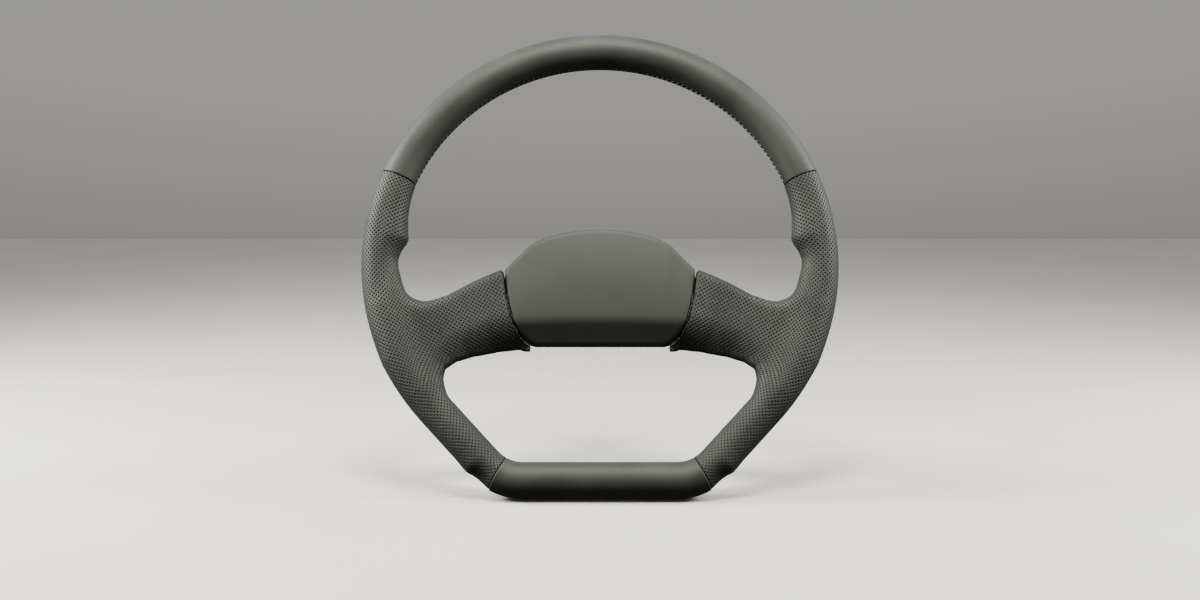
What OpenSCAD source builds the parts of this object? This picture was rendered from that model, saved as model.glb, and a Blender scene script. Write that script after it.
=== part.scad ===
// Leather trimmed steering wheel on a ball-lock quick release hub.
// The wheel's axis is Y. The driver is on the -Y side and +Z is up.
// The origin is the centre of the column bore's mouth, at the very back.
// "Reach" is a distance from the origin towards the driver, so a reach of 130 is y = -130.

/* [Rim] */
// Outside diameter of the round part of the rim
rim_d = 440; // [420:5:450]
// Thickness of the wrapped grip
grip_d = 33; // [31:0.5:34]
// Reach of the rim's middle plane
rim_reach = 130; // [130:1:136]
// Height of the flat bottom bar's axis below the wheel's axis
bar_drop = 202.5; // [200:0.5:205]
// Slope of the two straight flanks above the bar, in degrees
flank_angle = 47; // [46:0.5:48]
// Radius of the bends between the flanks and the bar
bend_r = 48; // [40:1:52]
// How far the thumb rests swell inwards
thumb_swell = 7.5; // [5:0.5:9]

/* [Trim] */
// Thickness of the leather
leather_t = 1.3; // [1:0.1:1.6]
// Diameter of the steel rod inside the rim
rod_d = 12; // [10:0.5:14]
// Diameter of the sewing thread
thread_d = 0.9; // [0.6:0.1:1.2]
// Length of one whipped stitch along the rim
stitch_pitch = 5; // [4:0.5:8]

/* [Horn pad] */
// Travel of the horn pad
horn_travel = 2; // [1.5:0.1:2.5]
// Thickness of the pad's padded skin
pad_skin = 4; // [3:0.25:4]
// Gap between the pad's side and the leather of the spokes
pad_gap = 2.5; // [2:0.1:3]

/* [Quick release] */
// Diameter of the bored hole for the steering shaft, a 3/4 inch shaft with clearance
column_bore_d = 19.1; // [19:0.05:20.6]
// Depth of that hole
column_bore_depth = 22; // [18:1:24]
// Diameter of the splined spigot
spigot_d = 32; // [31.8:0.1:32.2]
// Number of spline grooves
spline_count = 12; // [8:1:12]
// Diameter of the locking balls
ball_d = 6; // [5.8:0.1:6]
// How far the locking collar is pulled
collar_travel = 8; // [7.5:0.1:8]
// Outside diameter of the hub flange
flange_d = 80; // [80:0.5:81]
// Pitch circle of the wheel bolts
bolt_pcd = 70; // [70:0.1:70.2]

/* [Hidden] */
$fn = 64;

leather_grey = [0.22, 0.235, 0.22];
pad_grey = [0.27, 0.285, 0.27];
plastic_black = [0.08, 0.08, 0.085];
foam_grey = [0.16, 0.16, 0.16];
zinc = [0.72, 0.73, 0.75];
aluminium = [0.78, 0.79, 0.8];
brass = [0.78, 0.62, 0.3];
collar_red = [0.55, 0.06, 0.05];

// Play of a sliding fit, and of a face that only has to stay clear
running_play = 0.06;
face_play = 0.2;

// ---------- helpers: everything is drawn by its reach ----------

// A flat shape in X and Z, given thickness between two reaches
module slab(back, front) {
  translate([0, -back, 0]) rotate([90, 0, 0]) linear_extrude(front - back) children();
}

// A straight rod along the wheel's axis
module rod_y(r, back, front) {
  translate([0, -back, 0]) rotate([90, 0, 0]) cylinder(r = r, h = front - back);
}

// A turned part, whose outline is a list of [radius, reach]
module turned(outline) {
  rotate([90, 0, 0]) rotate_extrude() polygon(outline);
}

// Copies its children at even angles round the wheel's axis
module around(count, first = 0) {
  for (i = [0 : count - 1]) rotate([0, -first - i * 360 / count, 0]) children();
}

// Copies its children on the right side as well as the left
module both_sides() {
  children();
  mirror([1, 0, 0]) children();
}

// ---------- the rim's centre line ----------

grip_r = grip_d / 2;
ring_r = rim_d / 2 - grip_r;
foam_r = grip_r - leather_t;
rod_r = rod_d / 2;
// The flank is a tangent to the ring. It leaves the ring at this angle past the bottom.
leave_angle = 270 - flank_angle;
leave_x = ring_r * cos(leave_angle);
leave_z = ring_r * sin(leave_angle);
bend_cut = bend_r * tan(flank_angle / 2);
flank_full = (bar_drop + leave_z) / sin(flank_angle);
flank_len = flank_full - bend_cut;
flank_end_x = leave_x + flank_len * cos(flank_angle);
flank_end_z = leave_z - flank_len * sin(flank_angle);
corner_x = leave_x + flank_full * cos(flank_angle);
bar_end_x = corner_x + bend_cut;
bend_x = bar_end_x;
bend_z = bend_r - bar_drop;
// The seams: one pair high on the ring, one pair part way round each bottom bend
top_seam = 157.5;
bend_seam = 29;
// Where two lengths of the rim meet, a low collar laps over the joint
collar_h = 0.1;

// A piece of the ring between two angles, with a round section
module ring_piece(r, from, to, path_r = ring_r) {
  translate([0, -rim_reach, 0]) rotate([90, 0, 0]) rotate([0, 0, from])
    rotate_extrude(angle = to - from, $fn = 128) translate([path_r, 0]) circle(r);
}

// The left flank
module flank(r) {
  translate([leave_x, -rim_reach, leave_z]) rotate([0, 90 + flank_angle, 0])
    cylinder(r = r, h = flank_len);
}

// The left bottom bend between two angles of turn, from the bar's end back to the flank
module bend_piece(r, from, to) {
  translate([bend_x, -rim_reach, bend_z]) rotate([90, 0, 0]) rotate([0, 0, -90 - to])
    rotate_extrude(angle = to - from, $fn = 128) translate([bend_r, 0]) circle(r);
}

// The flat bottom bar
module bar(r) {
  translate([bar_end_x, -rim_reach, -bar_drop]) rotate([0, 90, 0]) cylinder(r = r, h = -2 * bar_end_x);
}

// A low collar over a joint of the left side, square to a line that falls at an angle
module joint_collar(r, x, z, fall) {
  translate([x, -rim_reach, z]) rotate([0, 90 + fall, 0]) cylinder(r = r + collar_h, h = 3, center = true);
}

module flank_collars(r) {
  joint_collar(r, leave_x, leave_z, flank_angle);
  joint_collar(r, flank_end_x, flank_end_z, flank_angle);
}

module bar_collar(r) {
  joint_collar(r, bar_end_x, -bar_drop, 0);
}

// The whole closed line of the rim
module rim_loop(r) {
  ring_piece(r, 180 - leave_angle, leave_angle);
  bar(r);
  both_sides() {
    flank(r);
    bend_piece(r, 0, flank_angle);
    flank_collars(r);
    bar_collar(r);
  }
}

// The left thumb rest's swell
swell_from = 163;
swell_to = 174.5;
module swell(r) {
  ring_piece(r - 0.5, swell_from, swell_to, ring_r - thumb_swell);
}

// ---------- spokes ----------

spoke_front = rim_reach + 10;
spoke_back = rim_reach - 16;
upper_crotch = [-161, -12.5];
upper_crotch_r = 26.5;
lower_crotch = [-128, -111];
lower_crotch_r = 17;
pad_top = 28;
pad_bottom = -81.3;
spoke_bottom = -85.5;

// The left spoke seen from the driver, its upper and lower edges taken in by t
module spoke_outline(t) {
  difference() {
    polygon([
      [-62.5, spoke_bottom + t], [-71.9, -75.3], [-81.6, -59.8], [-84 - pad_gap, -37],
      [-87 - pad_gap, -10 - t],
      [-104, -16 - t], [-117, -23 - t], [-139, -34 - t], [-161, -38 - t], [-190, -15],
      [-200, -45], [-190, -95], [-160, -135], [-144, -128], [-128, -94 + t], [-109, -88 + t]
    ]);
    translate(upper_crotch) circle(upper_crotch_r + t);
    translate(lower_crotch) circle(lower_crotch_r + t);
  }
}

module spoke_solid(t) {
  slab(spoke_back + t, spoke_front - t) spoke_outline(t);
}

// ---------- column side of the quick release ----------

spigot_r = spigot_d / 2;
ball_r = ball_d / 2;
shoulder = 16;
spigot_end = 42;
ball_reach = 36;
ball_lift = 2.15;
// The locked balls sit flush with the sleeve's outside
sleeve_r = 20;
ball_path_r = sleeve_r - ball_r;
spline_depth = 1.4;
spline_w = 3;
socket_r = 7.5;
socket_back = 28;

module spline_grooves(r_floor, w, back, front) {
  around(spline_count) translate([r_floor, -front, -w / 2]) cube([6, front - back, w]);
}

// Steel adapter that is welded or pinned to the steering shaft
module column_adapter() {
  color(zinc) difference() {
    turned([
      [0, 0.0], [16, 0], [17, 1], [17, 12.5], [22, 13], [22, shoulder - 0.8], [21.2, shoulder],
      [spigot_r, shoulder], [spigot_r, spigot_end - 2.5], [spigot_r - 2.5, spigot_end], [0, spigot_end]
    ]);
    rod_y(column_bore_d / 2, -1, column_bore_depth);
    rod_y(socket_r, socket_back, spigot_end + 1);
    rod_y(3, column_bore_depth - 1, socket_back + 1);
    spline_grooves(spigot_r - spline_depth, spline_w, shoulder + 1, spigot_end + 1);
    // Groove that the locking balls drop into
    rotate([90, 0, 0]) rotate_extrude() translate([ball_path_r, ball_reach]) circle(ball_r + 0.1);
  }
}

pin_r = 2.5;
pin_end = 34;

// Insulating socket in the front of the spigot, for the horn's contact pin
module contact_socket() {
  color(plastic_black) difference() {
    rod_y(socket_r, socket_back, spigot_end - 0.5);
    rod_y(4, socket_back + 1.5, spigot_end);
    rod_y(1, socket_back - 1, socket_back + 2);
  }
}

// Brass sleeve that the contact pin slides into
module socket_sleeve() {
  color(brass) difference() {
    rod_y(4, socket_back + 1.5, spigot_end - 1.5);
    rod_y(pin_r + running_play, socket_back + 3, spigot_end);
  }
}

// ---------- wheel side of the quick release ----------

flange_back = 58;
flange_front = 66;
sleeve_back = shoulder + face_play;
bore_front = 50;
bush_r = 8;
bolt_hole_r = 2.75;
collar_back = 22;
collar_front = 46;
ring_groove = [20.8, 21.9];

// Splined sleeve and flange that carry the wheel
module hub_body() {
  color(aluminium) difference() {
    union() {
      difference() {
        turned([
          [0, sleeve_back], [sleeve_r - 0.6, sleeve_back], [sleeve_r, sleeve_back + 0.6],
          [sleeve_r, flange_back], [flange_d / 2 - 1, flange_back], [flange_d / 2, flange_back + 1],
          [flange_d / 2, flange_front], [0, flange_front]
        ]);
        rod_y(spigot_r + running_play, sleeve_back - 1, bore_front);
      }
      // Keys that fit the spigot's spline grooves
      around(spline_count) translate([spigot_r - spline_depth + 0.15, -bore_front - 1, -spline_w / 2 + 0.15])
        cube([2, bore_front - sleeve_back - 1, spline_w - 0.3]);
    }
    rod_y(bush_r, bore_front - 1, flange_front + 1);
    around(6) translate([bolt_pcd / 2, 0, 0]) rod_y(bolt_hole_r, flange_back - 1, flange_front + 1);
    // Radial holes that the balls move in, and room in the keys for them
    around(6, 15) translate([13, -ball_reach, 0]) rotate([0, 90, 0]) cylinder(r = ball_r + 0.05, h = 8);
    turned([
      [sleeve_r - 1.1, ring_groove[0]], [sleeve_r + 1, ring_groove[0]],
      [sleeve_r + 1, ring_groove[1]], [sleeve_r - 1.1, ring_groove[1]]
    ]);
  }
}

// Split wire ring that stops the collar at the back of the sleeve
module collar_stop_ring() {
  color(zinc) difference() {
    turned([
      [sleeve_r - 1.05, ring_groove[0] + 0.05], [sleeve_r + 1.8, ring_groove[0] + 0.05],
      [sleeve_r + 1.8, ring_groove[1] - 0.05], [sleeve_r - 1.05, ring_groove[1] - 0.05]
    ]);
    translate([-2, -ring_groove[1] - 1, sleeve_r - 3]) cube([4, 4, 8]);
  }
}

// Ramp inside the collar: it lets the balls out in step with the collar's travel
ramp = ball_lift / collar_travel;
ramp_r = sleeve_r + 0.16;
relief_r = 22.4;
land_r = sleeve_r + running_play;
relief_at = ball_reach - (relief_r - ramp_r) / ramp;
spring_pocket_r = 24.6;
spring_pocket = 41;

// Sliding collar: pulled towards the driver, it lets the balls out of their groove
module lock_collar() {
  color(collar_red) difference() {
    turned([
      [land_r, collar_back], [28, collar_back], [31, collar_back + 1.5], [31, collar_back + 9],
      [28.5, collar_back + 11.5], [28.5, collar_front - 5], [30, collar_front - 3.5],
      [30, collar_front - 1], [29, collar_front], [spring_pocket_r, collar_front],
      [spring_pocket_r, spring_pocket], [land_r, spring_pocket],
      [land_r, ball_reach + (ramp_r - land_r) / ramp], [relief_r, relief_at],
      [relief_r, collar_back + 2.6], [land_r, collar_back + 2.6]
    ]);
    // Scallops for the fingers
    around(16, 11.25) translate([33.6, 0, 0]) rod_y(4, collar_back - 1, collar_back + 10);
  }
}

// A coil spring round the wheel's axis, as a stack of even rings joined by a short post
module ring_coil(r, wire, back, front, turns) {
  step = (front - back - wire) / (turns - 1);
  rotate([90, 0, 0]) for (i = [0 : turns - 1])
    translate([0, 0, back + wire / 2 + i * step]) rotate_extrude() translate([r, 0]) circle(wire / 2, $fn = 24);
  translate([r, 0, 0]) rod_y(wire * 0.4, back + wire / 2, front - wire / 2);
}

// Spring that pushes the collar back over the balls
module collar_spring() {
  color(zinc) ring_coil(22.4, 1.6, spring_pocket, flange_back, 5);
}

// One locking ball
module lock_ball(i) {
  color(zinc) rotate([0, -15 - (i - 1) * 60, 0]) translate([ball_path_r, -ball_reach, 0]) sphere(ball_r);
}

// Insulating bush in the hub's web
module contact_bush() {
  color(plastic_black) difference() {
    union() {
      rod_y(bush_r, bore_front - 1, flange_front);
      rod_y(bush_r + 2, flange_front, flange_front + 2);
    }
    rod_y(pin_r, bore_front - 2, flange_front + 3);
  }
}

// Brass pin that carries the horn's current through the hub
module contact_pin() {
  color(brass) turned([
    [0, pin_end], [pin_r - 1, pin_end], [pin_r, pin_end + 1], [pin_r, flange_front + 2],
    [4, flange_front + 2], [4, flange_front + 4.5], [0, flange_front + 4.5]
  ]);
}

plate_front = flange_front + 6;

// Six socket screws that hold the wheel to the hub
module hub_screws() {
  color(plastic_black) around(6) translate([bolt_pcd / 2, 0, 0]) difference() {
    union() {
      rod_y(2.5, flange_back, plate_front);
      rod_y(4.25, plate_front, plate_front + 5);
    }
    slab(plate_front + 2.2, plate_front + 6) circle(2.3, $fn = 6);
  }
}

// ---------- frame of the wheel ----------

boss_x = 28;
boss_z = [-25, 17];
base_back = 108;
base_front = 111;
arm_front = 124;

module arm(t = 0) {
  hull() {
    translate([-34 - t, -plate_front - t, -20 - t]) cube([8, 6 + 2 * t, 30 + 2 * t]);
    translate([-93, -arm_front + 1 - t, -72 - t]) cube([4, 6 + 2 * t, 38 + 2 * t]);
  }
}

// Four raised posts for the horn's base
module at_bosses() {
  for (x = [-boss_x, boss_x]) for (z = boss_z) translate([x, 0, z]) children();
}

// Cast aluminium plate and arms that join the hub to the rim's rod
module spoke_armature() {
  color(aluminium) difference() {
    union() {
      rod_y(flange_d / 2, flange_front, plate_front);
      both_sides() {
        arm();
        hull() {
          translate([-93, -arm_front + 1, -72]) cube([4.5, 6, 38]);
          translate([-190, -rim_reach - 4, -84]) cube([8, 8, 28]);
        }
      }
      at_bosses() rod_y(5, plate_front - 1, base_back);
    }
    rod_y(12, flange_front - 1, plate_front + 1);
    around(6) translate([bolt_pcd / 2, 0, 0]) rod_y(bolt_hole_r, flange_front - 1, plate_front + 1);
    around(6) translate([bolt_pcd / 2, 0, 0]) rod_y(4.6, plate_front, plate_front + 20);
    at_bosses() rod_y(2, base_back - 12, base_back + 1);
    ring_piece(rod_r, -180, 180);
  }
}

// Steel rod bent to the rim's line
module rim_rod() {
  color(zinc) rim_loop(rod_r);
}

// Moulded polyurethane body over the rod and the arms
module rim_foam() {
  color(foam_grey) difference() {
    union() {
      rim_loop(foam_r);
      both_sides() {
        swell(foam_r);
        spoke_solid(leather_t);
      }
    }
    rim_rod();
    spoke_armature();
  }
}

// Smooth leather over the top of the rim
module leather_top() {
  color(leather_grey) difference() {
    ring_piece(grip_r, 180 - top_seam, top_seam);
    ring_piece(foam_r, 170 - top_seam, top_seam + 10);
  }
}

// Perforated leather over one side of the rim and its spoke
module leather_side() {
  color(leather_grey) difference() {
    union() {
      ring_piece(grip_r, top_seam, leave_angle);
      flank(grip_r);
      bend_piece(grip_r, bend_seam, flank_angle);
      flank_collars(grip_r);
      swell(grip_r);
      spoke_solid(0);
    }
    rim_loop(foam_r);
    swell(foam_r);
    spoke_solid(leather_t);
    // The back skin stops where the arm comes out
    translate([-92, -spoke_back - leather_t - 0.2, -100]) cube([40, 3, 100]);
  }
}

module leather_left() {
  leather_side();
}

module leather_right() {
  mirror([1, 0, 0]) leather_side();
}

// Smooth leather over the bottom bar
module leather_bottom() {
  color(leather_grey) difference() {
    union() {
      both_sides() {
        bend_piece(grip_r, 0, bend_seam);
        bar_collar(grip_r);
      }
      bar(grip_r);
    }
    rim_loop(foam_r);
  }
}

// Whipped stitches along the inside of the top leather
stitch_r = ring_r - grip_r - thread_d / 2;
stitch_angle = stitch_pitch / stitch_r * 180 / PI;
stitch_half = floor((top_seam - 92) / stitch_angle);
module rim_stitching() {
  color(foam_grey) for (i = [-stitch_half : stitch_half])
    rotate([0, -i * stitch_angle, 0]) translate([-1.6, -rim_reach - 2.2, stitch_r])
      rotate([90, 0, -36]) translate([0, 0, -5.4]) cylinder(r = thread_d / 2, h = 5.4, $fn = 8);
}

// ---------- covers ----------

cover_back = 62;
cover_front = 112;
cover_lip_r = flange_d / 2 + 2.3;

// Outline of the cover's wide front, taken in by t
module cover_outline(t) {
  polygon([
    [-62 + t, -77.5 + t], [62 - t, -77.5 + t], [79 - t, -74.5], [90 - t, -58], [95 - t, -36],
    [95 - t, -18], [68 - t, 6], [38 - t, 26 - t], [-38 + t, 26 - t], [-68 + t, 6],
    [-95 + t, -18], [-95 + t, -36], [-90 + t, -58], [-79 + t, -74.5]
  ]);
}

module cover_solid(t) {
  hull() {
    rod_y(cover_lip_r - t, cover_back - t, cover_back + 3);
    slab(cover_front - 4, cover_front + t) cover_outline(t);
  }
}

// Moulded plastic bowl behind the spokes
cover_post_back = 96;
module at_cover_posts() {
  both_sides() translate([50, 0, -64]) children();
}

module rear_cover() {
  color(plastic_black) difference() {
    union() {
      difference() {
        cover_solid(0);
        cover_solid(2.2);
      }
      at_cover_posts() {
        rod_y(5.2, cover_post_back - 4, cover_post_back + 4);
        rod_y(4.2, cover_post_back, base_back);
      }
    }
    rod_y(flange_d / 2 + 0.15, cover_back - 5, plate_front + 0.3);
    both_sides() arm(0.6);
    at_cover_posts() {
      rod_y(1.7, cover_post_back - 1, base_back + 1);
      rod_y(3.5, cover_post_back - 12, cover_post_back);
    }
  }
}

// Two screws that hold the cover to the horn's base
module cover_screws() {
  color(zinc) at_cover_posts() {
    rod_y(1.6, cover_post_back, base_front);
    rod_y(3.2, cover_post_back - 3.2, cover_post_back);
  }
}

// ---------- horn ----------

post_x = 46;
post_z = [-4, -58];
pad_back = 122;
pad_front = 142;
frame_back = 127;
frame_front = 130;
post_r = 3;

module at_posts() {
  for (x = [-post_x, post_x]) for (z = post_z) translate([x, 0, z]) children();
}

// Moulded base that carries the horn's springs, posts and fixed contacts
module horn_base() {
  color(plastic_black) difference() {
    slab(base_back, base_front) polygon([
      [-57, -71], [57, -71], [57, 2], [34, 23], [-34, 23], [-57, 2]
    ]);
    at_bosses() rod_y(2.1, base_back - 1, base_front + 1);
    at_posts() rod_y(post_r - 0.5, base_back - 1, base_front + 1);
    for (x = [-20, 20]) translate([x, 0, -38]) rod_y(2, base_back - 1, base_front + 1);
    at_cover_posts() rod_y(1.6, base_back - 1, base_front + 1);
  }
}

// Four screws that hold the horn's base to the frame
module horn_base_screws() {
  color(zinc) at_bosses() {
    rod_y(2, base_back - 11, base_front);
    rod_y(3.6, base_front, base_front + 2.4);
  }
}

contact_gap = horn_travel + 0.1;
contact_back = frame_back - 1.2;

// Two brass studs that the horn current waits on
module fixed_contacts() {
  color(brass) for (x = [-20, 20]) translate([x, 0, -38]) {
    rod_y(2, base_back - 2, base_front);
    rod_y(4, base_front, base_front + 1.2);
    rod_y(2.5, base_front + 1.2, contact_back - contact_gap);
  }
}

// Insulated lead from the left stud to the pin in the hub
module horn_wire() {
  wire_r = 1.1;
  turn = 92;
  color(collar_red) union() {
    translate([-20, 0, -38]) rod_y(wire_r, turn, base_back - 2);
    translate([-20, -turn, -38]) sphere(wire_r + 0.1, $fn = 32);
    translate([-20, -turn, -38]) rotate([0, atan2(20, 38), 0]) cylinder(r = wire_r, h = norm([20, 38]));
    translate([0, -turn, 0]) sphere(wire_r + 0.1, $fn = 32);
    rod_y(wire_r, flange_front + 4.5, turn);
  }
}

// Shoulder posts that the pad slides on
module guide_posts() {
  color(zinc) at_posts() {
    rod_y(post_r - 0.5, base_back - 2, base_front);
    rod_y(post_r, base_front, frame_front);
    rod_y(5, frame_front, frame_front + 2.5);
  }
}

// Springs that return the pad
module horn_springs() {
  color(zinc) at_posts() ring_coil(4.4, 0.9, base_front, frame_back, 7);
}

// Brass strip on the back of the pad's frame
module moving_contact() {
  color(brass) difference() {
    slab(contact_back, frame_back) translate([-27, -43]) square([54, 10]);
    for (x = [-9, 9]) translate([x, 0, -38]) rod_y(1.5, contact_back - 1, frame_back + 1);
  }
}

// Two rivets that hold the strip
module contact_rivets() {
  color(zinc) for (x = [-9, 9]) translate([x, 0, -38]) {
    rod_y(1.5, contact_back, frame_front);
    rod_y(2.8, frame_front, frame_front + 1);
    rod_y(2.8, contact_back - 0.8, contact_back);
  }
}

// Outline of the pad, taken in by t
pad_arc_r = 165;
module pad_outline(t) {
  intersection() {
    polygon([
      [-59.5 + t, pad_bottom + t], [59.5 - t, pad_bottom + t], [69.3 - t, -74], [79 - t, -59],
      [84 - t, -36], [87 - t, -10.5], [64.5 - t, 13 - t / 2], [51 - t, 33], [-51 + t, 33],
      [-64.5 + t, 13 - t / 2], [-87 + t, -10.5], [-84 + t, -36], [-79 + t, -59], [-69.3 + t, -74]
    ]);
    translate([0, pad_top - pad_arc_r]) circle(pad_arc_r - t, $fn = 128);
  }
}

// Rigid plate inside the pad
module pad_frame() {
  color(plastic_black) difference() {
    slab(frame_back, frame_front) pad_above(pad_skin + 0.3, -70);
    at_posts() rod_y(post_r + running_play, frame_back - 1, frame_front + 1);
    for (x = [-9, 9]) translate([x, 0, -38]) rod_y(1.5, frame_back - 1, frame_front + 1);
  }
}

// The part of that outline above a height
module pad_above(t, z) {
  intersection() {
    pad_outline(t);
    translate([-90, z]) square([180, 120]);
  }
}

crease_z = -58;
module pad_shape(t) {
  hull() {
    slab(pad_back - t, pad_back + 4) pad_outline(t);
    slab(pad_back, pad_front - 5) pad_above(t, crease_z - 5);
    slab(pad_back, pad_front - t) pad_above(t + 5, crease_z);
  }
}

// Padded cover with its lower facet sloping back
module horn_pad() {
  color(pad_grey) difference() {
    pad_shape(0);
    pad_shape(pad_skin);
  }
}

column_adapter();
contact_socket();
socket_sleeve();
hub_body();
collar_stop_ring();
lock_collar();
collar_spring();
lock_ball(1);  // lock_ball_1
lock_ball(2);  // lock_ball_2
lock_ball(3);  // lock_ball_3
lock_ball(4);  // lock_ball_4
lock_ball(5);  // lock_ball_5
lock_ball(6);  // lock_ball_6
contact_bush();
contact_pin();
hub_screws();
spoke_armature();
rim_rod();
rim_foam();
leather_top();
leather_left();
leather_right();
leather_bottom();
rim_stitching();
rear_cover();
cover_screws();
horn_base();
horn_base_screws();
fixed_contacts();
horn_wire();
guide_posts();
horn_springs();
moving_contact();
contact_rivets();
pad_frame();
horn_pad();
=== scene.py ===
import math

import bmesh
import bpy
import numpy as np
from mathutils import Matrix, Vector


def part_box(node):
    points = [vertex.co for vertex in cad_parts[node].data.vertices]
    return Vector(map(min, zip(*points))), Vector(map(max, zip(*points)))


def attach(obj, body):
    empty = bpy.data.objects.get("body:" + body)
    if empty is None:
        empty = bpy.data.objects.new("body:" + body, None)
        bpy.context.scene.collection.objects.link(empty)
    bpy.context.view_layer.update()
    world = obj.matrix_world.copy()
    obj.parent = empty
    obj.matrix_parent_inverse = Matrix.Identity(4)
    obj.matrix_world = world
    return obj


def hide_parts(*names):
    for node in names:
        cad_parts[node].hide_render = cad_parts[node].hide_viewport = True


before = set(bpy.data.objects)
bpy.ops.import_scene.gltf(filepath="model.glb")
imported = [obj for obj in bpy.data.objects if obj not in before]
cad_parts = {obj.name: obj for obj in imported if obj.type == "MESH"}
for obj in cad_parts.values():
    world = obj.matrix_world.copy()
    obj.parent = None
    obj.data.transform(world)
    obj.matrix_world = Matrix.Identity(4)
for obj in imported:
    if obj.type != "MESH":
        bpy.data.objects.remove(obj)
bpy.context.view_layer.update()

# ---------- leather over the top of the rim ----------
# One strip of smooth automotive leather, 1.3 mm thick, pulled round the foam and glued.
# Its two long edges meet on the inside of the rim, where they are whipped together.
LEATHER_T = 0.0013
low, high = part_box("leather_top")
GRIP_R = (high[1] - low[1]) / 2
RIM_Y = (high[1] + low[1]) / 2
RING_R = high[2] - GRIP_R
TOP_SEAM = math.radians(157.5)
SEAM_GAP = 0.00035
SEAM_ROUND = 0.0009


def start_edit(obj=None):
    """Leaves only obj selected, in edit mode with nothing of it selected."""
    if obj:
        bpy.ops.object.select_all(action="DESELECT")
        obj.select_set(True)
        bpy.context.view_layer.objects.active = obj
    bpy.ops.object.mode_set(mode="EDIT")
    bpy.ops.mesh.select_all(action="DESELECT")


def end_edit():
    bpy.ops.object.mode_set(mode="OBJECT")


def pick_verts(obj, test):
    """Selects, in edit mode, the vertices whose place passes the test."""
    bpy.ops.mesh.select_mode(type="VERT")
    bpy.ops.mesh.select_all(action="DESELECT")
    work = bmesh.from_edit_mesh(obj.data)
    for v in work.verts:
        v.select = bool(test(v.co))
    work.select_flush_mode()
    bmesh.update_edit_mesh(obj.data)


def new_circle(name, radius, centre, turn, count=48):
    bpy.ops.object.select_all(action="DESELECT")
    bpy.ops.mesh.primitive_circle_add(vertices=count, radius=radius, location=centre, rotation=turn)
    obj = bpy.context.object
    obj.name = name
    bpy.ops.object.transform_apply(location=True, rotation=True, scale=True)
    bpy.ops.object.mode_set(mode="EDIT")
    bpy.ops.mesh.select_all(action="SELECT")
    return obj


def apply_modifier(obj, kind, **settings):
    bpy.ops.object.select_all(action="DESELECT")
    obj.select_set(True)
    bpy.context.view_layer.objects.active = obj
    modifier = obj.modifiers.new(kind.title(), kind)
    for key, value in settings.items():
        setattr(modifier, key, value)
    bpy.ops.object.modifier_apply(modifier=modifier.name)


def outward(obj):
    start_edit(obj)
    bpy.ops.mesh.select_all(action="SELECT")
    bpy.ops.mesh.remove_doubles(threshold=0.00002)
    bpy.ops.mesh.normals_make_consistent(inside=False)
    end_edit()


def thicken(obj, thickness):
    """Gives a skin its thickness, inwards from the face that shows."""
    apply_modifier(obj, "SOLIDIFY", thickness=thickness, offset=-1.0, use_even_offset=False)


def round_end(obj, centre, along, radius):
    """Rounds the outer edge of a skin where it ends at a seam, square to along."""
    start_edit(obj)
    middle = Vector(centre)
    way = Vector(along).normalized()
    pick_verts(
        obj,
        lambda p: abs((p - middle).dot(way)) < 0.00006 and abs((p - middle).length - GRIP_R) < 0.0003,
    )
    bpy.ops.mesh.bevel(offset=radius, segments=3, affect="EDGES")
    end_edit()


def finish_piece(obj, body, slot, *nodes):
    bpy.ops.object.select_all(action="DESELECT")
    obj.select_set(True)
    bpy.context.view_layer.objects.active = obj
    bpy.ops.object.shade_smooth_by_angle(angle=math.radians(42))
    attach(obj, body)
    if nodes:
        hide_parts(*nodes)


def on_ring(angle, radius=RING_R):
    return (radius * math.cos(angle), RIM_Y, radius * math.sin(angle))


def ring_way(angle):
    return (-math.sin(angle), 0, math.cos(angle))


gap_angle = SEAM_GAP / RING_R
start = math.pi - TOP_SEAM + gap_angle
stop = TOP_SEAM - gap_angle
leather_top = new_circle("leather_top_skin", GRIP_R, on_ring(start), (0, -start, 0), 64)
bpy.ops.mesh.spin(steps=200, angle=stop - start, center=(0, RIM_Y, 0), axis=(0, 1, 0))
end_edit()

# Where the strip's long edges meet, they dip towards the foam.
start_edit(leather_top)
seam_work = bmesh.from_edit_mesh(leather_top.data)
for v in seam_work.verts:
    ring = math.hypot(v.co.x, v.co.z)
    off = math.atan2(v.co.y - RIM_Y, RING_R - ring) * GRIP_R
    dip = 0.0007 * math.exp(-((off / 0.0016) ** 2))
    v.co.x *= (ring + dip) / ring
    v.co.z *= (ring + dip) / ring
bmesh.update_edit_mesh(leather_top.data)
end_edit()
outward(leather_top)
thicken(leather_top, LEATHER_T)
for angle in (start, stop):
    round_end(leather_top, on_ring(angle), ring_way(angle), SEAM_ROUND)


def linear(code):
    """The scene-linear colour of an sRGB hex value."""
    parts = [int(code[i:i + 2], 16) / 255 for i in (0, 2, 4)]
    return tuple(p / 12.92 if p <= 0.04045 else ((p + 0.055) / 1.055) ** 2.4 for p in parts) + (1.0,)


def new_material(name):
    material = bpy.data.materials.new(name)
    material.use_nodes = True
    return material, material.node_tree.nodes["Principled BSDF"]


def add(tree, kind, inputs=None, **settings):
    """Adds one node, sets its settings, and sets or links its inputs."""
    node = tree.nodes.new("ShaderNode" + kind)
    for key, value in settings.items():
        setattr(node, key, value)
    for key, value in (inputs or {}).items():
        if isinstance(value, bpy.types.NodeSocket):
            tree.links.new(value, node.inputs[key])
        else:
            node.inputs[key].default_value = value
    return node


def two_tone(tree, factor, dark, light, low_at=0.0, high_at=1.0):
    ramp = add(tree, "ValToRGB", {"Fac": factor})
    ramp.color_ramp.elements[0].color = linear(dark)
    ramp.color_ramp.elements[0].position = low_at
    ramp.color_ramp.elements[1].color = linear(light)
    ramp.color_ramp.elements[1].position = high_at
    return ramp.outputs["Color"]


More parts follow.
